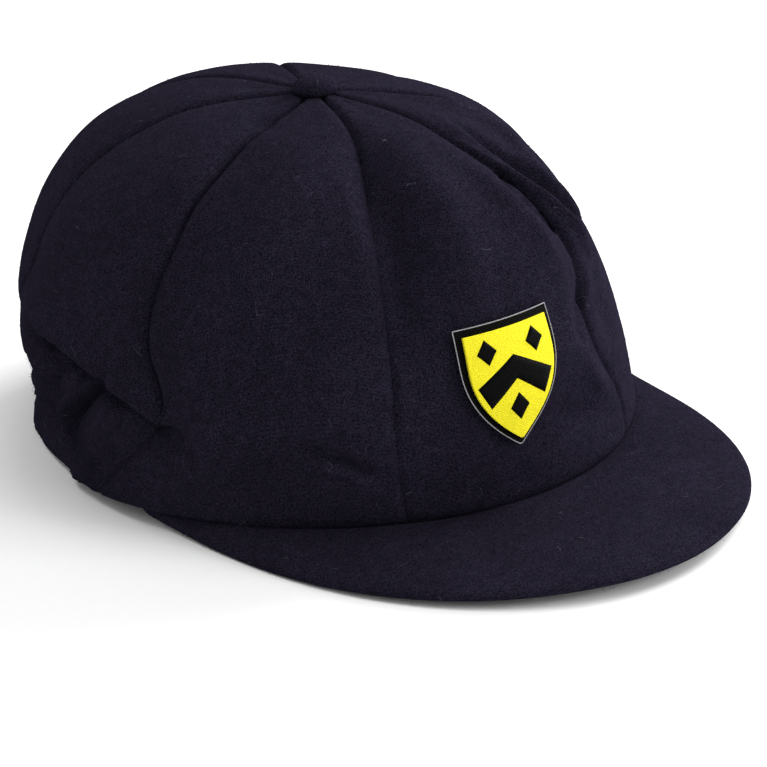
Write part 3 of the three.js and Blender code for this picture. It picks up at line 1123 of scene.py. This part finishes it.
@dataclass
class Badge:
    """The shield: a black ground with a pale edge, a yellow field, a black chevron and three lozenges."""

    black: bpy.types.Material
    yellow: bpy.types.Material
    pale: bpy.types.Material
    solid_thickness: float = 0.8 * MM
    plate_share: float = 1.4
    plate_edge: float = 0.2 * MM
    fineness: int = 3
    reach_behind: float = 60 * MM
    edging_radius: float = 0.17 * MM
    motif_lift: float = 0.35 * MM
    motif_gap: float = 0.05 * MM
    motif_thickness: float = 0.3 * MM
    motif_columns: int = 28
    motif_rows: int = 5
    edge_slopes: tuple[float, float] = (8.0, 3.0)
    cast_from: float = 30 * MM
    half_width: float = 15.2 * MM
    half_height: float = 17.0 * MM
    motifs: tuple[Motif, ...] = (
        Motif(
            "chevron",
            bottom=((-0.62, -0.34), (0.0, 0.06), (0.62, -0.34)),
            top=((-0.86, 0.06), (0.0, 0.48), (0.86, 0.06)),
        ),
        Motif.lozenge("lozenge_left", (-0.55, 0.62), 0.21, 0.22),
        Motif.lozenge("lozenge_right", (0.55, 0.62), 0.21, 0.22),
        Motif.lozenge("lozenge_low", (0.0, -0.42), 0.22, 0.24),
    )

    def build(self) -> None:
        """Makes and dresses the badge."""
        ground = self.stitched("badge_patch", "badge_ground")
        dress(ground, self.black, "badge_border", "badge_patch")
        shield = self.stitched("badge_field", "badge_yellow")
        dress(shield, self.yellow, "badge_field", "badge_field")
        dress(self.edging(), self.pale, "badge_border")
        for motif in self.motifs:
            dress(self.sewn(motif, shield), self.black, "badge_border")

    def face_sheet(self, node: str, name: str) -> bpy.types.Object:
        """The outer face of one of the badge's solids, as one fine sheet with sharp corners.

        Args:
            node: The solid's node.
            name: The sheet's name.

        Returns:
            The sheet.
        """
        piece = copy_of_node(node, name)
        low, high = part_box(node)
        behind = (low + high) / 2 + Vector((0.0, self.reach_behind, 0.0))
        split_at_walls(piece, self.solid_thickness, behind)
        start = max(piece.data.polygons, key=lambda f: (f.center - behind).length).index
        keep_linked(piece, start)
        join_triangles(piece)
        subdivide(piece, self.fineness)
        return piece

    def edging(self) -> bpy.types.Object:
        """The pale overcast thread round the outline of the ground.

        Returns:
            The edging's piece.
        """
        piece = self.face_sheet("badge_patch", "badge_edging")
        with editing(piece):
            bpy.ops.mesh.select_all(action="SELECT")
            bpy.ops.mesh.region_to_loop()
            bpy.ops.mesh.select_all(action="INVERT")
            bpy.ops.mesh.delete(type="EDGE")
        bpy.ops.object.convert(target="CURVE")
        piece.data.bevel_depth = self.edging_radius
        piece.data.bevel_resolution = 2
        bpy.ops.object.convert(target="MESH")
        smooth(piece)
        return piece

    def stitched(self, node: str, name: str) -> bpy.types.Object:
        """A plate of the badge, made finer and with a soft edge.

        Args:
            node: The plate's node.
            name: The piece's name.

        Returns:
            The plate's piece.
        """
        piece = self.face_sheet(node, name)
        apply_modifier(piece, "SOLIDIFY", thickness=self.solid_thickness * self.plate_share, offset=-1.0)
        apply_modifier(piece, "BEVEL", width=self.plate_edge, segments=2, limit_method="ANGLE")
        smooth(piece)
        return piece

    def sewn(self, motif: Motif, shield: bpy.types.Object) -> bpy.types.Object:
        """A motif laid on the shield and padded a little.

        Args:
            motif: The motif.
            shield: The yellow field that it lies on.

        Returns:
            The motif's piece.
        """
        low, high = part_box("badge_field")
        middle = (low + high) / 2
        tree = BVHTree.FromObject(shield, bpy.context.evaluated_depsgraph_get())
        front = (face.normal * face.area for face in shield.data.polygons if face.normal.y < 0)
        outward = sum(front, Vector()).normalized()
        right = Vector((0.0, 0.0, 1.0)).cross(outward).normalized()
        up = outward.cross(right)
        activate()
        bpy.ops.mesh.primitive_grid_add(
            x_subdivisions=self.motif_columns, y_subdivisions=self.motif_rows, size=2.0
        )
        piece = bpy.context.active_object
        piece.name = motif.name
        piece.data.name = motif.name
        points = read_points(piece)
        across, height = motif.spread(points).T
        by_side, by_end = self.edge_slopes
        pad = np.clip((1 - np.abs(points[:, 1])) * by_end, 0, 1)
        pad *= np.clip((1 - np.abs(points[:, 0])) * by_side, 0, 1)
        placed = []
        for x, y, lift in zip(across, height, pad):
            start = middle + right * (x * self.half_width) + up * (y * self.half_height)
            start += outward * self.cast_from
            hit = tree.ray_cast(start, -outward)
            base = hit[0] if hit[0] is not None else start - outward * self.cast_from
            placed.append(base + outward * (self.motif_gap + self.motif_lift * lift))
        write_points(piece, np.array(placed))
        apply_modifier(piece, "SOLIDIFY", thickness=self.motif_thickness, offset=-1.0)
        smooth(piece)
        return piece


@dataclass(frozen=True)
class Lamp:
    """A soft square light, with its place and side in metres and its power in watts."""

    name: str
    place: tuple[float, float, float]
    side: float
    power: float


@dataclass
class Studio:
    """The floor and the lights."""

    paper: bpy.types.Material
    floor_side: float = 8.0
    white: Colour = (1.0, 1.0, 1.0, 1.0)
    daylight: float = 0.6
    aim: tuple[float, float, float] = (0.0, 0.0, 0.05)
    lamps: tuple[Lamp, ...] = (
        Lamp("key", (1.3, 0.0, 0.6), 0.8, 28.0),
        Lamp("top", (0.3, -0.3, 1.6), 1.0, 7.0),
        Lamp("front", (0.9, -1.4, 0.7), 0.8, 15.0),
        Lamp("left", (-0.5, 1.0, 1.7), 0.6, 8.0),
    )

    def build(self) -> None:
        """Makes the floor and the lights."""
        activate()
        bpy.ops.mesh.primitive_plane_add(size=self.floor_side, location=(0.0, 0.0, 0.0))
        floor = bpy.context.active_object
        floor.name = "floor"
        floor.data.materials.append(self.paper)
        for lamp in self.lamps:
            self.light(lamp)
        world = bpy.data.worlds.new("studio")
        world.use_nodes = True
        background = world.node_tree.nodes["Background"]
        background.inputs["Color"].default_value = self.white
        background.inputs["Strength"].default_value = self.daylight
        bpy.context.scene.world = world

    def light(self, lamp: Lamp) -> None:
        """Hangs a lamp so that it faces the cap.

        Args:
            lamp: The lamp.
        """
        data = bpy.data.lights.new(lamp.name, "AREA")
        data.size = lamp.side
        data.energy = lamp.power
        made = bpy.data.objects.new(lamp.name, data)
        made.location = lamp.place
        towards = Vector(self.aim) - Vector(lamp.place)
        made.rotation_mode = "QUATERNION"
        made.rotation_quaternion = towards.to_track_quat("-Z", "Y")
        bpy.context.scene.collection.objects.link(made)


FOLDS = (
    Fold("side_roll", (
        (262, 118), (228, 146), (200, 180), (172, 224), (146, 280), (128, 330), (124, 372),
    ), 6, 2.0),
    Fold("right_hollow", (
        (292, 122), (262, 160), (232, 205), (206, 255), (188, 305), (180, 350), (190, 400),
    ), 7, -1.8),
    Fold("seam_kink", ((249, 132), (268, 128), (288, 122)), 3, -1.6),
    Fold("seam_drawn_up", (
        (306, 95), (291, 113), (276, 128), (262, 141), (246, 155), (228, 170), (205, 195),
    ), 6, -1.6, Side.SHIFT),
    Fold("right_roll", ((330, 125), (345, 165), (354, 205), (366, 255), (376, 310), (382, 360)), 5, 1.8),
    Fold("front_hollow", ((342, 120), (366, 168), (380, 205), (390, 250), (394, 300), (402, 370)), 6.5, -5.4),
    Fold("front_roll", ((366, 100), (418, 160), (446, 215), (460, 262), (462, 320)), 9, 3.4),
    Fold("left_roll", (
        (400, 126), (455, 158), (500, 192), (534, 226), (554, 258), (564, 290), (562, 325),
    ), 5, 2.4),
    Fold("left_crease", (
        (430, 135), (464, 154), (490, 168), (511, 192), (540, 215), (561, 236),
        (574, 257), (579, 278), (577, 307), (578, 333), (595, 358), (616, 383),
    ), 1.3, -2.0, Side.SEEN),
    Fold("strip_ridge", (
        (440, 134), (466, 149), (510, 177), (548, 202), (578, 227), (588, 257), (586, 290), (583, 318),
    ), 1.5, 2.2, Side.SEEN),
    Fold("strip_valley", (
        (422, 101), (464, 126), (506, 156), (548, 189), (582, 223), (593, 253), (591, 278), (587, 300),
    ), 1.3, -2.8, Side.SEEN),
    Fold("second_ridge", (
        (466, 104), (481, 114), (506, 130), (527, 160), (557, 189), (578, 215), (595, 248), (604, 275),
    ), 1.6, 2.0, Side.SEEN),
    Fold("low_left_roll", ((575, 345), (592, 370), (608, 392), (618, 415)), 4, 1.2),
    Fold("overhang", (
        (30, 309), (46, 323), (78, 352), (118, 386), (157, 411), (172, 423), (182, 430),
    ), 7, 5.0, Side.LIP),
    Fold("overhang_crease", (
        (24, 314), (42, 331), (62, 347), (80, 365), (104, 387), (130, 403), (152, 415), (172, 428),
    ), 2.2, -6.0, Side.SEEN),
    Fold("back_full", ((26, 285), (30, 315), (34, 342), (40, 372), (45, 396)), 14, 2.4),
    Fold("standing_pleat", ((58, 322), (49, 350), (43, 374), (41, 394), (44, 420)), 1.2, 2.4, Side.SEEN),
    Fold("standing_valley", ((66, 340), (57, 366), (53, 384), (50, 404)), 1.9, -4.2, Side.SEEN),
    Fold("deep_crease", ((116, 358), (103, 378), (85, 398), (69, 418), (50, 442)), 1.9, -7.0, Side.SEEN),
    Fold("crease_brow", ((88, 374), (66, 404), (56, 424), (46, 452)), 1.3, 4.2, Side.SEEN),
    Fold("rear_bulge", ((132, 388), (108, 420), (84, 448)), 3.5, 3.6, Side.SEEN),
    Fold("short_valley", ((43, 392), (48, 410), (54, 430)), 1.1, -3.4, Side.SEEN),
    Fold("gather_a", ((74, 468), (64, 448), (54, 432)), 1.3, -2.4, Side.SEEN),
    Fold("gather_b", ((92, 480), (82, 460), (72, 442)), 1.5, 1.8, Side.SEEN),
    Fold("gather_c", ((104, 480), (99, 466), (92, 452)), 1.5, -1.3, Side.SEEN),
    Fold("back_low", ((36, 388), (40, 408), (47, 434), (58, 455), (70, 466), (84, 474)), 18, -4.8),
    Fold("seam_pull", ((174, 426), (182, 440), (190, 453), (196, 468)), 3, -1.8),
    Fold("seam_bulge", ((194, 420), (206, 446), (216, 478)), 5, 1.6),
    Fold("hem_dent", ((278, 436), (300, 446), (330, 458), (365, 472), (396, 488)), 2.0, -2.8, Side.SEEN),
    Fold("hem_ridge", ((292, 456), (320, 466), (350, 476), (378, 487)), 1.8, 1.5, Side.SEEN),
    Fold("side_dent", ((196, 258), (193, 305)), 6, -1.0),
    Fold("low_front_dent", ((543, 413), (575, 415), (606, 411)), 4, -1.2),
    Fold("side_crease", ((100, 356), (126, 371), (148, 392)), 2.2, -1.0),
    Fold("seam_foot", ((385, 400), (388, 440)), 5, -0.9),
)


def main() -> None:
    """Builds the cap, its studio and its camera."""
    logging.basicConfig(level=logging.INFO, format="%(message)s")
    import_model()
    bpy.context.scene.view_settings.view_transform = "Standard"
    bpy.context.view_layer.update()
    view = PhotoView()
    view.make_camera()
    crown_wool = FeltedWool("crown_wool").make()
    peak_wool = FeltedWool("peak_wool", lint_share=1.0).make()
    black = SatinStitch("black_thread", (0.0045, 0.0045, 0.005, 1.0), (0.002, 0.002, 0.002, 1.0), 0.02).make()
    yellow = SatinStitch("yellow_thread", (0.95, 0.86, 0.03, 1.0), (0.75, 0.66, 0.02, 1.0), 0.03).make()
    pale = SatinStitch("pale_thread", (0.42, 0.42, 0.44, 1.0), (0.2, 0.2, 0.22, 1.0)).make()
    crown = Crown(view, crown_wool, folds=FOLDS)
    crown.build()
    Peak(peak_wool).build()
    Button(crown_wool).build()
    fibre_wool = FeltedWool("fibre_wool", deep=(0.020, 0.016, 0.030, 1.0)).make()
    covered = crown.pieces + [bpy.data.objects["wool_button"], bpy.data.objects["wool_peak"]]
    Nap(fibre_wool).build(covered, Vector(view.rim_middle) + Vector((0.0, 0.0, crown.hub_height)))
    Badge(black, yellow, pale).build()
    Studio(StudioPaper().make()).build()


if __name__ == "__main__":
    main()
